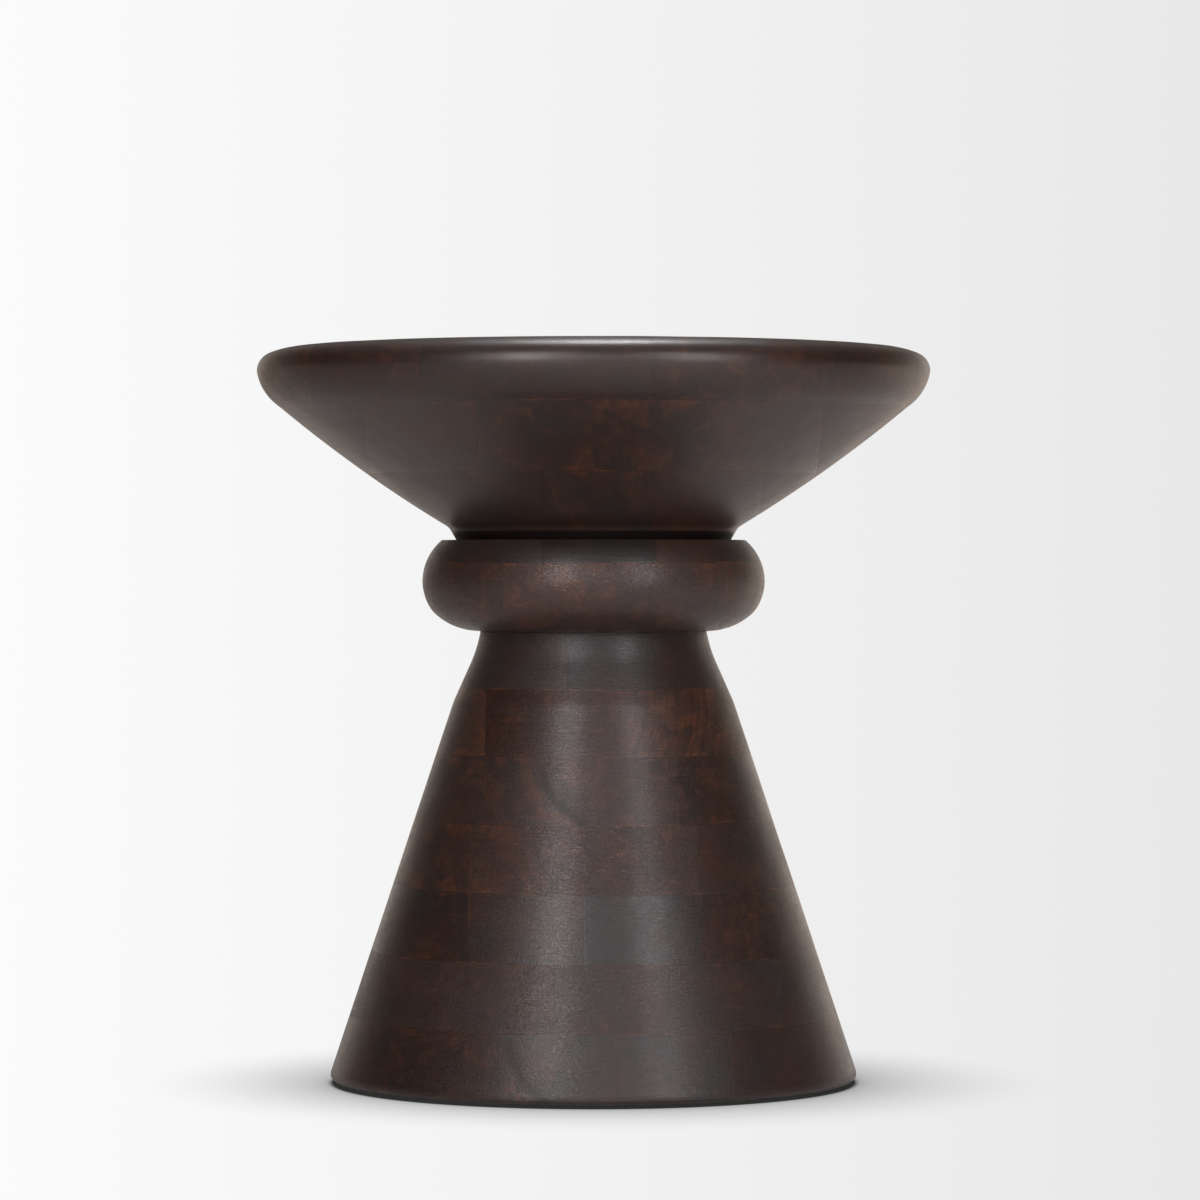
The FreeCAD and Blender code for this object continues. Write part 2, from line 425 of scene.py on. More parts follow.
def board_grid(outline, left, right, low_way, high_way, glued):
    """The turned face of a board, in front and behind, as two arrays of places by row and column.

    A row is one way along the outline, with radius r. A column is an angle from the front, between the
    arcsines of left / r and right / r. The place is (r sin angle, -r cos angle, height), and behind with the
    other sign in Y. Both are pushed in along the outline's normal by the stray of the turning, and by a V
    beside the glue lines.
    """
    size = settings("boards")
    lows, highs = edge_steps(glued["low"], size), edge_steps(glued["high"], size)
    steps = max(4, round((high_way - low_way) / size.spacing))
    inner = np.linspace(low_way + lows[-1], high_way - highs[-1], steps)
    way = np.r_[low_way + lows[:-1], inner, high_way - highs[:-1][::-1]]
    radius, height, out, up = [line[:, None] for line in outline.at(way)]

    def angle_at(x):
        return np.arcsin(np.clip(x / radius, -1, 1))

    lefts, rights = edge_steps(glued["left"], size), edge_steps(glued["right"], size)
    first = np.concatenate([angle_at(left + step) for step in lefts], axis=1)
    last = np.concatenate([angle_at(right - step) for step in rights[::-1]], axis=1)
    widest = radius.max() * float(np.max(last[:, :1] - first[:, -1:]))
    steps = max(6, round(widest / size.spacing))
    mix = np.linspace(0, 1, steps)[None, :]
    middle = first[:, -1:] * (1 - mix) + last[:, :1] * mix
    angle = np.concatenate([first[:, :-1], middle, last[:, 1:]], axis=1)

    x = radius * np.sin(angle)
    near = np.full(x.shape, FAR)
    for edge, gap in (
        ("left", x - left),
        ("right", right - x),
        ("low", way[:, None] - low_way),
        ("high", high_way - way[:, None]),
    ):
        if glued[edge]:
            near = np.minimum(near, gap)
    groove = size.groove_depth * np.clip(1 - near / size.groove_width, 0, 1)
    sides = []
    for sign, around in ((-1, angle), (1, math.pi - angle)):
        push = groove + stray(around, height, size.wander)
        turned = radius - out * push
        place = [turned * np.sin(angle), sign * turned * np.cos(angle), height - up * push]
        sides.append(np.stack(place, axis=2))
    return sides


def joined(grids):
    """The places and quads of several grids of places by row and column, one after another."""
    places, quads, start = [], [], 0
    for grid in grids:
        name = np.arange(grid[..., 0].size).reshape(grid.shape[:2]) + start
        corners = [name[:-1, :-1], name[:-1, 1:], name[1:, 1:], name[1:, :-1]]
        quads.append(np.stack(corners, axis=2).reshape(-1, 4))
        places.append(grid.reshape(-1, 3))
        start += name.size
    return np.concatenate(places), np.concatenate(quads)


def closed_board(front, back, depth_steps=8):
    """A board's places and quads: both turned faces, and straight lines between their borders."""
    mix = np.linspace(0, 1, depth_steps + 1)[:, None, None]
    faces = [front, back[:, ::-1]]
    for near, far in (
        (front[:, 0], back[:, 0]),
        (front[::-1, -1], back[::-1, -1]),
        (front[0, ::-1], back[0, ::-1]),
        (front[-1], back[-1]),
    ):
        faces.append(near[None] * (1 - mix) + far[None] * mix)
    return joined(faces)


def welded(places, quads, merge=2e-6):
    """A mesh of these places and quads, whose borders are merged, with all faces pointing out."""
    mesh = bpy.data.meshes.new("welded")
    mesh.from_pydata(places.tolist(), [], quads.tolist())
    shape = bmesh.new()
    shape.from_mesh(mesh)
    bmesh.ops.remove_doubles(shape, verts=shape.verts, dist=merge)
    bmesh.ops.dissolve_degenerate(shape, edges=shape.edges, dist=merge)
    bmesh.ops.recalc_face_normals(shape, faces=shape.faces)
    shape.to_mesh(mesh)
    shape.free()
    return mesh


def piece(name, mesh, replaced, material, crease=30):
    """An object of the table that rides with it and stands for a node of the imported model.

    It is shaded smooth between the edges that are sharper than the crease, in degrees.
    """
    mesh.name = name
    mesh.shade_smooth()
    mesh.set_sharp_from_angle(angle=math.radians(crease))
    thing = bpy.data.objects.new(name, mesh)
    bpy.context.scene.collection.objects.link(thing)
    mesh.materials.clear()
    mesh.materials.append(material)
    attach(thing, BODY)
    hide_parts(replaced)
    return thing


def round_bar(radius, x, y, low, high, steps=48):
    """A closed upright bar: circles at both ends, a radius round (x, y), with a middle point each."""
    turn = np.linspace(0, 2 * math.pi, steps, endpoint=False)
    ring = np.stack([x + radius * np.cos(turn), y + radius * np.sin(turn)], axis=1)
    places = np.concatenate([
        np.c_[ring, np.full(steps, low)], np.c_[ring, np.full(steps, high)], [[x, y, low], [x, y, high]],
    ])
    this, after = np.arange(steps), np.roll(np.arange(steps), -1)
    middle = np.full(steps, 2 * steps)
    faces = []
    for corners in (
        (this, after, after + steps, this + steps),
        (after, this, middle),
        (this + steps, after + steps, middle + 1),
    ):
        faces += np.stack(corners, axis=1).tolist()
    mesh = bpy.data.meshes.new("bar")
    mesh.from_pydata(places.tolist(), [], faces)
    return mesh


def dowel_bores():
    """Bores of all dowels, each as radius, x, y, low end and high end."""
    size = settings("dowels")
    low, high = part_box("centre_dowel")
    bores = [(high.x + size.clearance, 0.0, 0.0, low.z - size.end_room, high.z + size.end_room)]
    radius = size.locating_radius + size.clearance
    for node in LOCATING_DOWELS:
        low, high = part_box(node)
        for index in range(size.locating_count):
            turn = math.pi + 2 * math.pi * index / size.locating_count
            x, y = size.locating_circle * math.cos(turn), size.locating_circle * math.sin(turn)
            bores.append((radius, x, y, low.z - size.end_room, high.z + size.end_room))
    return bores


def bored(mesh, low, high, low_level, high_level):
    """The mesh with every bore cut from it that meets the board's box."""
    for radius, x, y, start, end in dowel_bores():
        if x + radius <= low or x - radius >= high or end <= low_level or start >= high_level:
            continue
        cutter = bpy.data.objects.new("cutter", round_bar(radius, x, y, start, end))
        board = bpy.data.objects.new("board", mesh)
        for thing in (cutter, board):
            bpy.context.scene.collection.objects.link(thing)
        cut = board.modifiers.new("bore", "BOOLEAN")
        cut.operation = "DIFFERENCE"
        cut.solver = "EXACT"
        cut.object = cutter
        ready = board.evaluated_get(bpy.context.evaluated_depsgraph_get())
        result = bpy.data.meshes.new_from_object(ready)
        for thing in (cutter, board):
            used = thing.data
            bpy.data.objects.remove(thing)
            bpy.data.meshes.remove(used)
        mesh = result
    return mesh


def write_attribute(mesh, name, values):
    """Gives every vertex a vector, under a name that the material reads."""
    layer = mesh.attributes.new(name, "FLOAT_VECTOR", "POINT")
    layer.data.foreach_set("vector", np.ascontiguousarray(values, np.float32).ravel())


def mark_wood(mesh, node, look, box, glued, seed):
    """Writes what the wood material reads on a board.

    log is the place in the log that the board came from: out from its heart in X and Z, along the grain in Y,
    with a slight slope of the grain, and shifted along it by chance. tone is warmth, lightness and dullness,
    figure is flame, rings and pores, and crescent is the board's one dark ring. joint is the distance to the
    nearest upright and level glue line, and the height over the foot of the throat.
    """
    left, right, low, high = box
    chance = np.random.default_rng(seed)
    places = np.zeros(len(mesh.vertices) * 3, np.float32)
    mesh.vertices.foreach_get("co", places)
    places = places.reshape(-1, 3).astype(float)
    turn, away = chance.uniform(0, 2 * math.pi), chance.uniform(0.05, 0.16)
    slope_x, slope_z = chance.uniform(-0.06, 0.06, 2)
    shift, dullness = chance.uniform(0.5, 9.0), chance.uniform(0.0, 1.0)
    heart = ((left + right) / 2 + away * math.cos(turn), (low + high) / 2 + away * math.sin(turn))
    if node in BOARD_HEARTS:
        heart, slope_x, slope_z = BOARD_HEARTS[node], 0.0, 0.0
    x, y, z = places.T
    log = [x - heart[0] + slope_x * y, y + shift, z - heart[1] + slope_z * y]
    write_attribute(mesh, "log", np.stack(log, axis=1))
    warmth, lightness, flame, rings, pores = np.array(look) / 100
    for name, value in (
        ("tone", (warmth, lightness, dullness)),
        ("figure", (flame, rings, pores)),
        ("crescent", BOARD_CRESCENTS.get(node, (0.0, 0.0, 0.0))),
    ):
        write_attribute(mesh, name, np.tile(value, (len(places), 1)))
    far = np.full(len(places), FAR)
    upright = np.minimum(x - left if glued["left"] else far, right - x if glued["right"] else far)
    level = np.minimum(z - low if glued["low"] else far, high - z if glued["high"] else far)
    over_seam = z - low if node.startswith("top_lower") else far
    write_attribute(mesh, "joint", np.stack([upright, level, over_seam], axis=1))


def section_boards(courses, outline_of):
    """Makes all boards of one turned section, each from its own node's box and the section's outline."""
    material = shared(stained_mango_wood, "stained_mango_wood_satin_lacquer")
    floor, ceiling = span(courses)
    outline = Outline(outline_of(ceiling - floor), floor, settings("boards").ease)
    for order, course in enumerate(courses):
        nodes = course_nodes(course)
        low, high = span((course,))
        for index, node in enumerate(nodes):
            box_low, box_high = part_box(node)
            glued = {"left": index > 0, "right": index < len(nodes) - 1}
            glued |= {"low": order > 0, "high": order < len(courses) - 1}
            reach = outline.radius.max() + FAR
            left = box_low.x if glued["left"] else -reach
            right = box_high.x if glued["right"] else reach
            inner = max(left, -right, 0.0)
            start, end = outline.way_at(low), outline.way_at(high)
            wide = (outline.radius > inner) & (outline.way >= start) & (outline.way <= end)
            start = max(start, float(outline.way[wide][0])) if outline.at(start)[0] < inner else start
            end = min(end, float(outline.way[wide][-1])) if outline.at(end)[0] < inner else end
            front, back = board_grid(outline, left, right, start, end, glued)
            mesh = bored(welded(*closed_board(front, back)), left, right, low, high)
            seed = [sum(node.encode()), index]
            mark_wood(mesh, node, BOARD_LOOKS[course][index], (left, right, low, high), glued, seed)
            piece(node + "_wood", mesh, node, material)


# Materials

# The kind of range that starts and ends softly
SMOOTH = "SMOOTHSTEP"


def add_node(tree, kind, *inputs, **named):
    """Adds a node: its first inputs in order, and its properties and other inputs by name, _ being a space.

    A value that is a node or a socket is linked, a node by its first output.
    """
    node = tree.nodes.new("ShaderNode" + kind)
    sockets = {socket.identifier.replace(" ", "_"): socket for socket in node.inputs}
    values = dict(zip(sockets, inputs))
    for name, value in named.items():
        if name in sockets:
            values[name] = value
        else:
            setattr(node, name, value)
    for name, value in values.items():
        if isinstance(value, bpy.types.Node):
            value = value.outputs[0]
        if isinstance(value, bpy.types.NodeSocket):
            tree.links.new(value, sockets[name])
        else:
            sockets[name].default_value = value
    return node


def new_material(name):
    """An empty material, and the function that adds a node to it."""
    material = bpy.data.materials.new(name)
    material.use_nodes = True
    material.node_tree.nodes.clear()
    return material, functools.partial(add_node, material.node_tree)


def weighted(add, total, *terms):
    """The total plus each term's value times its weight."""
    for value, weight in terms:
        total = add("Math", value, weight, total, operation="MULTIPLY_ADD")
    return total


def layered(add, under, *layers):
    """A colour with others laid over it in turn, each by its share."""
    for part, over in layers:
        under = add("Mix", part, A_Color=under, B_Color=over, data_type="RGBA").outputs[2]
    return under


def fade(add, value, middle, full, end, strength=1.0):
    """The strength where the value is within one distance of a middle, and nothing past another distance."""
    off = add("Math", value, middle, operation="SUBTRACT")
    apart = add("Math", off, operation="ABSOLUTE")
    return add("MapRange", apart, full, end, strength, 0.0, interpolation_type=SMOOTH)


def stained_mango_wood(name):
    """Mango wood, turned, sanded, stained dark brown and sprayed with satin lacquer.

    The stain takes unevenly, so boards run from grey brown to red brown in soft clouds, with faint uneven
    rings, orange flames where little stain took, open pores along the grain, fine lines from the lathe, and
    hairlines where boards meet.
    """
    wood = settings("wood")
    material, add = new_material(name)
    place = add("TexCoord").outputs["Object"]
    log, *marks = [
        add("Attribute", attribute_name=name).outputs["Vector"]
        for name in ("log", "tone", "figure", "joint", "crescent")
    ]
    tone, figure, joint, crescent = [add("SeparateXYZ", mark).outputs for mark in marks]

    # Places in the log, on the level and drawn out along the grain for clouds, flames, pores and fibres
    level_log, along, flame_place, pore_place, fibre_place = [
        add("VectorMath", log, (across, drawn, 1.0), operation="MULTIPLY")
        for across, drawn in ((1.0, 0.0), (1.0, 0.2), (1.0, 0.3), (0.75, 0.07), (1.0, 0.03))
    ]

    # Slow clouds of stain, 35 mm across the grain and five times that along it
    cloud = add("TexNoise", along, Scale=1 / (35 * MM), Detail=4.0, Roughness=0.62)

    # Growth rings round the heart, bent by the clouds: uneven bands some 3 mm wide
    bent = add("VectorMath", cloud.outputs["Color"], (10 * MM,) * 3, along, operation="MULTIPLY_ADD")
    flat = add("VectorMath", bent, (1.0, 0.0, 1.0), operation="MULTIPLY")
    age = add("VectorMath", flat, operation="LENGTH").outputs["Value"]
    bands = add(
        "TexNoise", W=age, noise_dimensions="1D", Scale=1 / wood.ring_width, Detail=3.0, Roughness=0.7
    )
    ring = add("MapRange", bands, From_Min=0.42, From_Max=0.7, interpolation_type=SMOOTH)
    ring_amount = add("MapRange", figure["Y"], From_Min=0.25)
    ring_share = add("Math", ring, ring_amount, operation="MULTIPLY")

    # Flames where little stain took: patches 14 mm across, broken up by finer streaks
    flicker = add("TexNoise", flame_place, Scale=1 / (14 * MM), Detail=7.0, Roughness=0.72, Distortion=0.8)

    # Pores, which show as dark squiggles across the grain, longest on the level, and as lines along it
    squiggle = add(
        "TexNoise", pore_place, Scale=1 / wood.pore_spacing, Detail=2.0, Roughness=0.6, Distortion=0.7
    )
    pore_shape = fade(add, squiggle, 0.5, 0.01, 0.06)
    pores = add("Math", pore_shape, figure["Z"], operation="MULTIPLY")

    # Fibres, 1.6 mm wide
    fibres = add("TexNoise", fibre_place, Scale=1 / (1.6 * MM), Detail=3.0, Roughness=0.7)

    # Lines left by the lathe and the sanding: 1 mm apart on the outline, long round the table
    around = add("VectorMath", place, (1.0, 1.0, 0.0), operation="MULTIPLY")
    radius = add("VectorMath", around, operation="LENGTH").outputs["Value"]
    drift = add("VectorMath", place, (0.04, 0.03, 0.0), operation="DOT_PRODUCT").outputs["Value"]
    height = add("SeparateXYZ", place).outputs["Z"]
    lathe_place = add("CombineXYZ", radius, height, drift)
    lathe = add("TexNoise", lathe_place, Scale=1 / (1 * MM), Detail=2.0, Roughness=0.7)

    # Colour: grey brown through dark brown to red brown, by the board's warmth and the clouds
    warm = weighted(add, -0.8, (tone["X"], 1.0), (cloud, 1.6))
    to_dark = add("MapRange", warm, From_Min=-0.1, From_Max=0.4)
    to_red = add("MapRange", warm, From_Min=0.3, From_Max=0.9)

    # One soft dark ring, 9 mm wide, and inside it thin ones, 2.6 mm apart, on the side that the crescent's
    # way points to
    way = add("CombineXYZ", X=crescent["Y"], Z=crescent["Z"])
    from_heart = add("VectorMath", level_log, operation="LENGTH").outputs["Value"]
    outward = add("VectorMath", level_log, operation="NORMALIZE")
    facing = add("VectorMath", outward, way, operation="DOT_PRODUCT").outputs["Value"]
    sector = add("MapRange", facing, From_Min=0.8, From_Max=0.93, interpolation_type=SMOOTH)
    beyond = add("Math", from_heart, crescent["X"], operation="SUBTRACT")
    turned = add("Math", beyond, 2 * math.pi / (2.6 * MM), operation="MULTIPLY")
    wave = add("Math", turned, operation="SINE")
    thin = add("MapRange", wave, From_Min=0.4, interpolation_type=SMOOTH)
    inside = fade(add, beyond, -5 * MM, 4 * MM, 8 * MM, 0.6)
    thin_share = add("Math", thin, inside, operation="MULTIPLY")
    on_ring = fade(add, beyond, 0.0, 0.0, 5.5 * MM, 0.6)
    in_ring = add("Math", thin_share, on_ring, operation="MAXIMUM")
    crescent_share = add("Math", in_ring, sector, operation="MULTIPLY")

    # Flames are strongest on boards with much flame, in places beside level glue lines and on both sides of
    # the dark ring, and stop at the dark rings
    patch = add("TexNoise", place, Scale=1 / (25 * MM), Detail=2.0)
    beside = fade(add, joint["Y"], 0.0, 0.0, 6 * MM)
    beside_share = add(
        "MapRange", patch, From_Min=0.45, From_Max=0.65, To_Max=0.13, interpolation_type=SMOOTH
    )
    outer = fade(add, beyond, 9 * MM, 2 * MM, 8 * MM, 0.12)
    inner = fade(add, beyond, -20 * MM, 3 * MM, 12 * MM, 0.08)
    flank = add("Math", outer, inner, operation="ADD")
    flaming = weighted(add, flicker, (beside, beside_share), (flank, sector), (figure["X"], 0.3))
    flame_share = add("MapRange", flaming, From_Min=0.6, To_Max=0.5, interpolation_type=SMOOTH)
    rings = add("Math", ring_share, crescent_share, operation="MAXIMUM")
    ring_dark = add("Math", rings, 0.65, operation="MULTIPLY")
    figured = layered(
        add, wood.grey, (to_dark, wood.dark), (to_red, wood.red), (flame_share, wood.flame),
        (ring_dark, wood.deep),
    )

    # Fibres, lathe lines and the board's own lightness brighten or darken the stain
    shade = weighted(add, 0.1, (tone["Y"], 1.0), (lathe, 0.35), (fibres, 0.45))
    lit = add("VectorMath", figured, Scale=shade, operation="SCALE")
    pore_dark = add("Math", pores, 0.5, operation="MULTIPLY")

    # Hairlines on the glue lines, 0.5 mm wide, faint where upright: dark in some places, pale in others, or
    # not to be seen
    upright = add("Math", joint["X"], 1.6, operation="MULTIPLY")
    nearest = add("Math", upright, joint["Y"], operation="MINIMUM")
    hair = fade(add, nearest, 0.0, 0.05 * MM, 0.5 * MM)
    dark_hair, pale_hair = [
        add("Math", hair, add("MapRange", patch, off, on, 0.0, most), operation="MULTIPLY")
        for off, on, most in ((0.45, 0.6, 0.85), (0.42, 0.3, 0.6))
    ]

    # Painted shade in the undercut foot of the throat, where little light reaches: a nearly black band, 6 mm
    # high, with little gloss
    painted_throat_shade = fade(add, joint["Z"], 0.0, 5.2 * MM, 6.8 * MM, 0.95)
    final = layered(
        add, lit, (pore_dark, wood.deep), (dark_hair, wood.glue), (pale_hair, wood.flame),
        (painted_throat_shade, wood.glue),
    )

    # The lacquer is satin, duller on pores and the crescent and in slow patches, and on some boards
    haze = add("TexNoise", place, Scale=1 / (28 * MM), Detail=3.0)
    rough = weighted(
        add, wood.roughness - 0.16, (tone["Z"], 0.08), (lathe, 0.12), (haze, 0.16), (pores, 0.2),
        (crescent_share, 0.25),
    )
    # Painted shade: the specular level also falls in the throat's band
    throat_shade_specular = add("MapRange", painted_throat_shade, To_Min=0.5, To_Max=0.16)

    # Relief of fibres, pores and lathe lines, which is deepest on boards with many pores, and slow unevenness
    relief = weighted(add, 0.0, (fibres, 2.0), (pores, -0.9), (lathe, 1.5))
    depth = weighted(add, 0.12, (figure["Z"], 1.0))
    fine = add("Bump", Height=relief, Strength=depth, Distance=0.14 * MM)
    slow = add("Bump", Height=haze, Strength=0.5, Distance=0.6 * MM, Normal=fine)
    shader = add(
        "BsdfPrincipled", Base_Color=final, Roughness=rough, Specular_IOR_Level=throat_shade_specular, Normal=slow,
        IOR=1.5, Coat_Weight=0.1, Coat_Roughness=0.2, Coat_IOR=1.5,
    )
    add("OutputMaterial", shader)
    return material


def bare_dowel_wood(name):
    """Beech dowel rod, machined and left bare: pale tan with fine upright grain and small dark flecks."""
    wood = settings("wood")
    material, add = new_material(name)
    place = add("TexCoord").outputs["Object"]
    # Grain lines, 1.5 mm apart and long with the dowel, and flecks 1.2 mm wide
    grain_place = add("Mapping", place, Scale=(1.0, 1.0, 0.04))
    grain = add("TexNoise", grain_place, Scale=1 / (1.5 * MM), Detail=3.0)
    fleck_place = add("Mapping", place, Scale=(1.0, 1.0, 0.3))
    fleck = add("TexVoronoi", fleck_place, Scale=1 / (1.2 * MM))
    late = add("MapRange", grain, From_Min=0.45, From_Max=0.7)
    flecked = add("MapRange", fleck, From_Min=0.1, From_Max=0.3, To_Min=0.7, To_Max=0.0)
    tint = layered(add, wood.dowel, (late, wood.dowel_dark), (flecked, wood.dowel_dark))
    rough = add("MapRange", grain, To_Min=0.55, To_Max=0.75)
    bump = add("Bump", Height=grain, Strength=0.4, Distance=0.1 * MM)
    add("OutputMaterial", add("BsdfPrincipled", tint, Roughness=rough, Normal=bump))
    return material


def pressed_felt(name):
    """Pressed wool felt: near black, matt, with a nap of fine crossing fibres."""
    material, add = new_material(name)
    place = add("TexCoord").outputs["Object"]
    # Fibres, drawn 0.5 mm wide so that they show
    nap = add("TexNoise", place, Scale=1 / (0.5 * MM), Detail=4.0, Roughness=0.8, Distortion=2.0)
    pale = add("MapRange", nap, From_Min=0.3, From_Max=0.7)
    tint = layered(add, to_linear("#1d1b1a"), (pale, to_linear("#3b3734")))
    rough = add("MapRange", nap, To_Min=0.9)
    bump = add("Bump", Height=nap, Strength=0.8, Distance=0.3 * MM)
    shader = add("BsdfPrincipled", tint, Roughness=rough, Normal=bump, Sheen_Weight=0.3, Sheen_Roughness=0.5)
    add("OutputMaterial", shader)
    return material


def shared(make, name):
    """A material of this name that is in the file already, or else a new one."""
    return bpy.data.materials.get(name) or make(name)


# Operators


class ACCENTTABLE_OT_base_boards(bpy.types.Operator):
    """Make the boards of the conical base"""
    bl_idname = "accent_table.base_boards"
    bl_label = "Base boards"

    def execute(self, context):
        section_boards(BASE_COURSES, base_outline)
        return {"FINISHED"}


class ACCENTTABLE_OT_collar_boards(bpy.types.Operator):
    """Make the boards of the beaded collar"""
    bl_idname = "accent_table.collar_boards"
    bl_label = "Collar boards"

    def execute(self, context):
        section_boards(COLLAR_COURSES, collar_outline)
        return {"FINISHED"}


class ACCENTTABLE_OT_top_boards(bpy.types.Operator):
    """Make the boards of the round top"""
    bl_idname = "accent_table.top_boards"
    bl_label = "Top boards"

    def execute(self, context):
        section_boards(TOP_COURSES, top_outline)
        return {"FINISHED"}


class ACCENTTABLE_OT_dowels(bpy.types.Operator):
    """Give the dowels inside the table their bare wood"""
    bl_idname = "accent_table.dowels"
    bl_label = "Dowels"

    def execute(self, context):
        material = shared(bare_dowel_wood, "bare_beech_dowel")
        for node in ("centre_dowel", *LOCATING_DOWELS):
            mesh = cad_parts[node].data
            mesh.materials.clear()
            mesh.materials.append(material)
        return {"FINISHED"}


class ACCENTTABLE_OT_felt_pads(bpy.types.Operator):
    """Make the felt pads under the base"""
    bl_idname = "accent_table.felt_pads"
    bl_label = "Felt pads"

    def execute(self, context):
        size = settings("felt")
        low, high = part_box("felt_pads")
        # The outline of a pad: out along the floor in three steps, round both edges in six each, and back
        soft = size.edge_round
        quarter = np.linspace(0, math.pi / 2, 6)
        edge = size.radius - soft
        lower = np.stack([edge + soft * np.sin(quarter), low.z + soft - soft * np.cos(quarter)], axis=1)
        upper = np.stack([edge + soft * np.cos(quarter), high.z - soft + soft * np.sin(quarter)], axis=1)
        inner = np.array([0.0, 0.35, 0.7]) * size.radius
        outline = np.concatenate([
            np.c_[inner, np.full(3, low.z)], lower, upper, np.c_[inner[::-1], np.full(3, high.z)],
        ])
        turn = np.linspace(0, 2 * math.pi, 65)
        heights = np.repeat(outline[:, 1:], len(turn), axis=1)
        grids = []
        for index in range(size.count):
            way = math.pi + 2 * math.pi * (index + 0.5) / size.count
            x = size.circle * math.cos(way) + np.outer(outline[:, 0], np.cos(turn))
            y = size.circle * math.sin(way) + np.outer(outline[:, 0], np.sin(turn))
            grids.append(np.stack([x, y, heights], axis=2))
        material = shared(pressed_felt, "pressed_wool_felt")
        piece("felt_pads_pressed", welded(*joined(grids)), "felt_pads", material, crease=50)
        return {"FINISHED"}


# How far to the side the picture's edge lies, over the distance from the camera
VIEW_EDGE = 0.117
# The height that the lamps face, and the corners of the round floor
LAMP_AIM = 0.25
FLOOR_CORNERS = 96


def gradient(add, side):
    """The pale background's colour by how far to the side a place lies in the view."""
    stage = settings("stage")
    to_right = add("MapRange", side, From_Min=-VIEW_EDGE, From_Max=VIEW_EDGE)
    return layered(add, stage.left_tone, (to_right, stage.right_tone))


def floor_material():
    """Painted studio floor: to the lens it is as pale as the background, and darker close round the foot."""
    stage = settings("stage")
    material, add = new_material("white_studio_floor")
    place = add("TexCoord").outputs["Object"]
    xyz = add("SeparateXYZ", place).outputs
    to_place = (-stage.camera_aside, stage.camera_distance, -stage.camera_height)
    from_lens = add("VectorMath", place, to_place, operation="ADD")
    far = add("VectorMath", from_lens, operation="LENGTH").outputs["Value"]
    side = add("Math", xyz["X"], far, operation="DIVIDE")
    # The shadow is soft for some 140 mm round the foot, and nearly black where the foot hides the floor
    near = add("AmbientOcclusion", samples=24, Distance=142 * MM).outputs["AO"]
    shadow = add("MapRange", near, From_Min=0.4, To_Min=0.03)
    tone = add("VectorMath", gradient(add, side), Scale=shadow, operation="SCALE")
    shown = add("Emission", tone)
    # Painted light: the floor's colour is lighter on the right, as the table sees more light on the right of
    # the floor than on the left
    to_right = add("MapRange", xyz["X"], From_Min=-0.8, From_Max=0.8)
    tint = layered(add, to_linear("#c6c6c4"), (to_right, to_linear("#ececea")))
    matt = add("BsdfDiffuse", tint)
    # Painted light: behind the table the floor glows warmly, most on the right, as the rest of a bright
    # studio lights it
    glow_side = add("MapRange", xyz["X"], From_Min=-1.5, From_Max=1.5, To_Min=0.15, To_Max=0.45)
    glow_far = add("MapRange", xyz["Y"], From_Min=0.3, From_Max=2.2, To_Max=1.9)
    glow = add("Math", glow_side, glow_far, operation="MULTIPLY")
    # The floor's matt paint with the painted glow added
    paint_and_glow = add("AddShader", matt, add("Emission", to_linear("#ffe8d4"), glow))
    lens = add("LightPath").outputs["Is Camera Ray"]
    add("OutputMaterial", add("MixShader", lens, paint_and_glow, shown))
    return material


def studio_world():
    """The room: the pale background to the lens, and to the table a bright wall behind it and little else."""
    world = bpy.data.worlds.new("studio")
    world.use_nodes = True
    world.node_tree.nodes.clear()
    add = functools.partial(add_node, world.node_tree)
    way = add("SeparateXYZ", add("TexCoord").outputs["Generated"]).outputs
    shown = add("Background", gradient(add, way["X"]))
    from_middle = add("Math", way["X"], operation="ABSOLUTE")
    # The wall behind the table glows low down, little in the middle and on the far left, the room is a little
    # brighter on the right, and the ceiling glows somewhat
    behind, aside, low, right, dim, above = [
        add("MapRange", value, start, end, first, last, interpolation_type=ease)
        for value, start, end, first, last, ease in (
            (way["Y"], 0.4, 0.97, 0.0, 1.1, SMOOTH),
            (from_middle, 0.05, 0.25, 0.1, 1.0, SMOOTH),
            (way["Z"], 0.1, 0.42, 1.0, 0.1, SMOOTH),
            (way["X"], -0.8, -0.2, 0.3, 0.9, "LINEAR"),
            (way["X"], -1.0, 1.0, 0.01, 0.06, "LINEAR"),
            (way["Z"], 0.6, 1.0, 0.0, 0.4, SMOOTH),
        )
    ]
    wall = behind
    for part in (low, aside, right):
        wall = add("Math", wall, part, operation="MULTIPLY")
    rest = add("Math", dim, above, operation="ADD")
    warm = add("Background", to_linear("#fff0e2"), wall)
    plain = add("Background", to_linear("#fff8f4"), rest)
    lens = add("LightPath").outputs["Is Camera Ray"]
    mixed = add("MixShader", lens, add("AddShader", warm, plain), shown)
    add("OutputWorld", mixed, is_active_output=True)
    bpy.context.scene.world = world


def soft_lamp(name, side, rise, distance, width, height, radiance):
    """A rectangular soft lamp that faces the table's middle, which the lens doesn't see.

    Side is its angle round the table from the camera, to the right, and rise its angle above the table's
    middle, both in degrees. A rectangle gives its power over four times its area as radiance.
    """
    side, rise = math.radians(side), math.radians(rise)
    data = bpy.data.lights.new(name, "AREA")
    data.shape = "RECTANGLE"
    data.size, data.size_y = width, height
    data.energy = radiance * 4 * width * height
    data.color = to_linear("#fffbfe")[:3]
    lamp = bpy.data.objects.new(name, data)
    bpy.context.scene.collection.objects.link(lamp)
    away = distance * math.cos(rise)
    lamp.location = (away * math.sin(side), -away * math.cos(side), LAMP_AIM + distance * math.sin(rise))
    lamp.rotation_euler = (math.pi / 2 - rise, 0.0, side)
    lamp.visible_camera = False


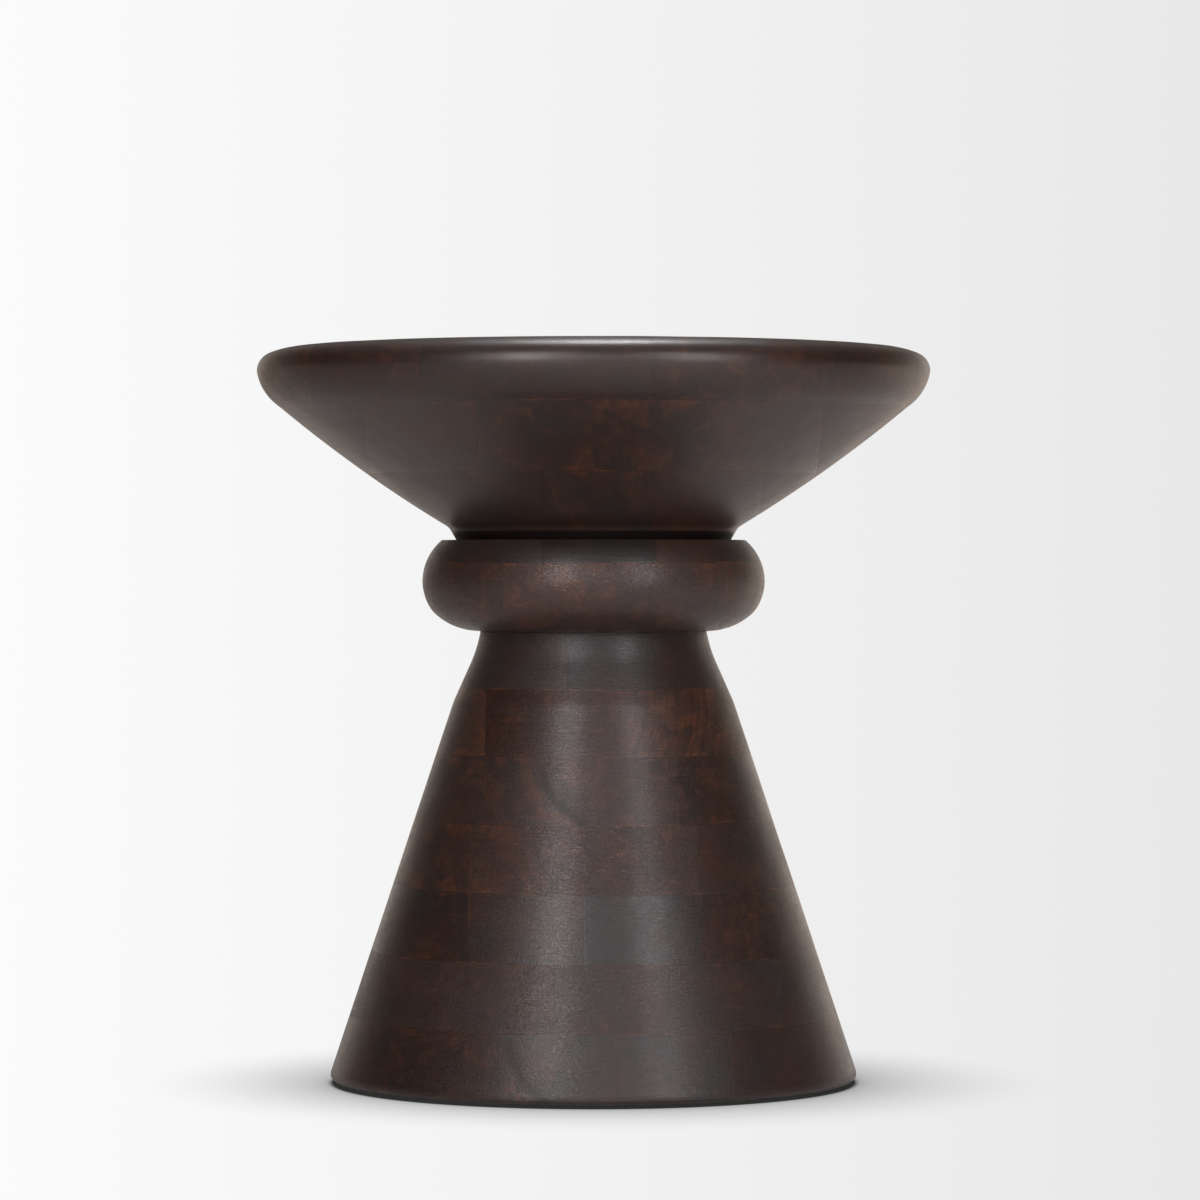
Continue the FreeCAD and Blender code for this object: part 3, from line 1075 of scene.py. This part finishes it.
class ACCENTTABLE_OT_stage(bpy.types.Operator):
    """Make the floor, the background, the lamps and the camera"""
    bl_idname = "accent_table.stage"
    bl_label = "Stage"

    def execute(self, context):
        stage = settings("stage")
        turn = np.linspace(0, 2 * math.pi, FLOOR_CORNERS, endpoint=False)
        ring = stage.floor_radius * np.stack([np.cos(turn), np.sin(turn), 0 * turn], axis=1)
        mesh = bpy.data.meshes.new("studio_floor")
        mesh.from_pydata(ring.tolist(), [], [list(range(FLOOR_CORNERS))])
        mesh.materials.append(floor_material())
        ground = bpy.data.objects.new("studio_floor", mesh)
        context.scene.collection.objects.link(ground)
        studio_world()

        key = stage.key_strength
        soft_lamp("left_strip", side=-21, rise=19, distance=2.2, width=0.65, height=1.75, radiance=key)
        soft_lamp("right_strip", side=33, rise=19, distance=2.2, width=0.55, height=1.75, radiance=key * 0.85)
        soft_lamp("front_fill", side=6, rise=12, distance=2.4, width=0.7, height=0.9, radiance=key * 0.2)
        soft_lamp("overhead", side=177, rise=69, distance=2.2, width=0.42, height=1.2, radiance=9.0)

        data = bpy.data.cameras.new("photograph_view")
        data.sensor_width = 36.0
        data.lens = stage.focal_length
        camera = bpy.data.objects.new("photograph_view", data)
        context.scene.collection.objects.link(camera)
        camera.location = (stage.camera_aside, -stage.camera_distance, stage.camera_height)
        camera.rotation_euler = (math.pi / 2 - stage.camera_dip, 0.0, 0.0)
        context.scene.camera = camera
        context.scene.view_settings.view_transform = "Standard"
        return {"FINISHED"}


OPERATORS = (
    ACCENTTABLE_OT_base_boards,
    ACCENTTABLE_OT_collar_boards,
    ACCENTTABLE_OT_top_boards,
    ACCENTTABLE_OT_dowels,
    ACCENTTABLE_OT_felt_pads,
    ACCENTTABLE_OT_stage,
)


class ACCENTTABLE_PT_sidebar(bpy.types.Panel):
    """Lists the pieces of the table and its settings"""
    bl_idname = "ACCENTTABLE_PT_sidebar"
    bl_label = "Accent table"
    bl_space_type = "VIEW_3D"
    bl_region_type = "UI"
    bl_category = "Accent table"

    def draw(self, context):
        for operator in OPERATORS:
            self.layout.operator(operator.bl_idname)
        for group, kind in GROUPS.items():
            box = self.layout.box()
            box.label(text=group.capitalize())
            for name in kind.__annotations__:
                label = name.replace("_", " ").capitalize()
                box.prop(getattr(context.scene.accent_table, group), name, text=label)


CLASSES = (*GROUPS.values(), TableSettings, *OPERATORS, ACCENTTABLE_PT_sidebar)


def register():
    """Adds the classes and the settings."""
    for kind in CLASSES:
        bpy.utils.register_class(kind)
    bpy.types.Scene.accent_table = bpy.props.PointerProperty(type=TableSettings)


def unregister():
    """Removes the settings and the classes."""
    del bpy.types.Scene.accent_table
    for kind in reversed(CLASSES):
        bpy.utils.unregister_class(kind)


def main():
    """Builds the whole table and its stage."""
    register()
    bpy.ops.accent_table.base_boards()
    bpy.ops.accent_table.collar_boards()
    bpy.ops.accent_table.top_boards()
    bpy.ops.accent_table.dowels()
    bpy.ops.accent_table.felt_pads()
    bpy.ops.accent_table.stage()


if __name__ == "__main__":
    main()
